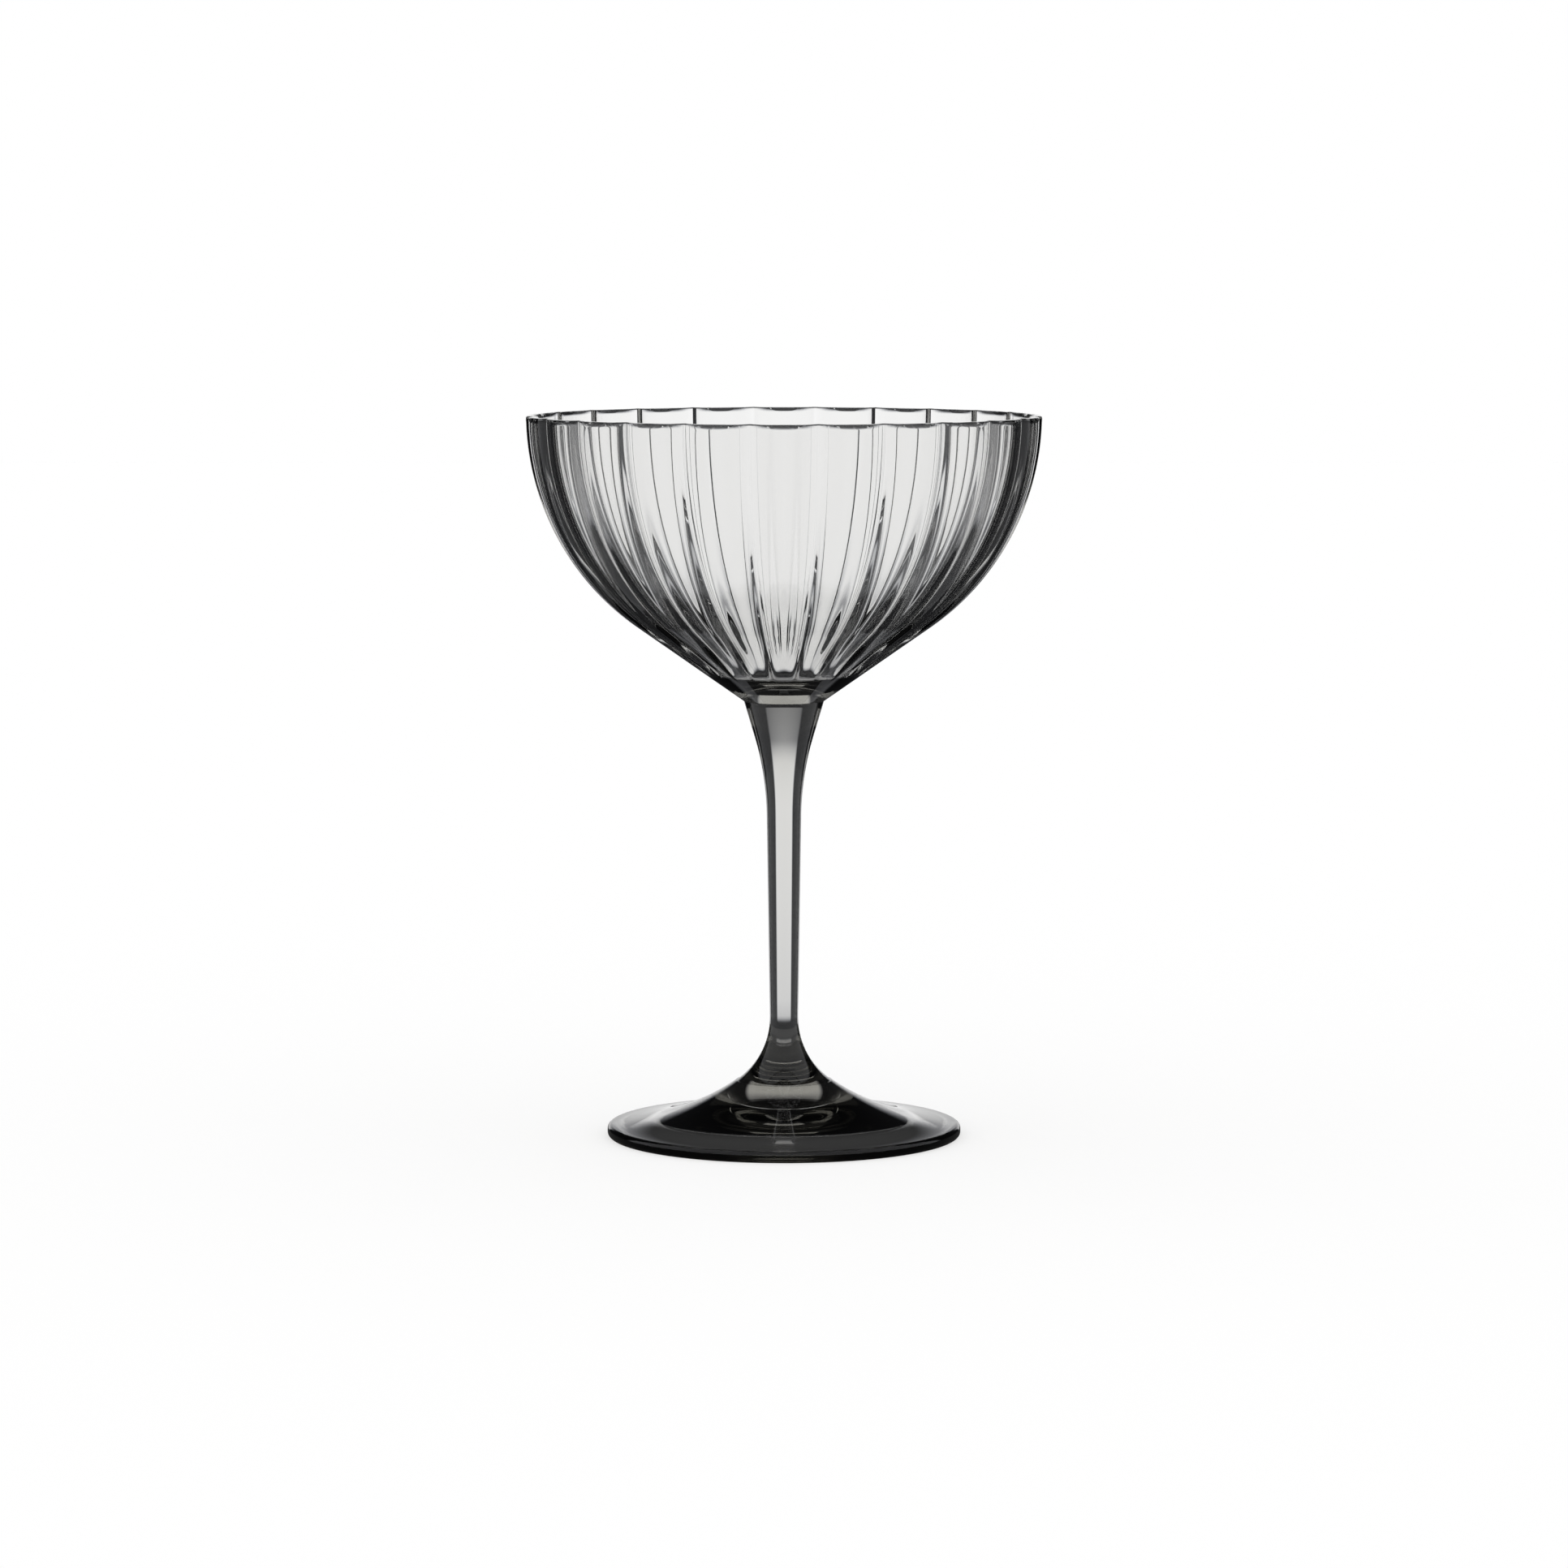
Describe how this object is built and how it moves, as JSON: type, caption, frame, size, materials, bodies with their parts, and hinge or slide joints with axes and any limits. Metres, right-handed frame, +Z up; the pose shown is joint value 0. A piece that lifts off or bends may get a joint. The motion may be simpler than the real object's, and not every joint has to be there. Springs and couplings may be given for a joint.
{
  "type": "coupe glass",
  "caption": "Fluted coupe glass in smoke-tinted clear glass: wide thin bowl with polished rim, slender drawn stem and round foot with a hollow underside.",
  "frame": {"origin": "centre of the foot, on the surface that the glass stands on", "axes": "+Z up along the axis of the stem; one flute of the bowl is centred on each of +X, -X, +Y and -Y"},
  "size_m": [0.098, 0.098, 0.138],
  "materials": {
    "bowl_glass": "clear polished glass with a light smoke tint",
    "stem_glass": "clear polished glass with a smoke tint",
    "foot_glass": "clear polished glass with a smoke tint"
  },
  "bodies": {
    "root": {"bowl": "bowl_glass", "stem": "stem_glass", "foot": "foot_glass"}
  },
  "joints": []
}
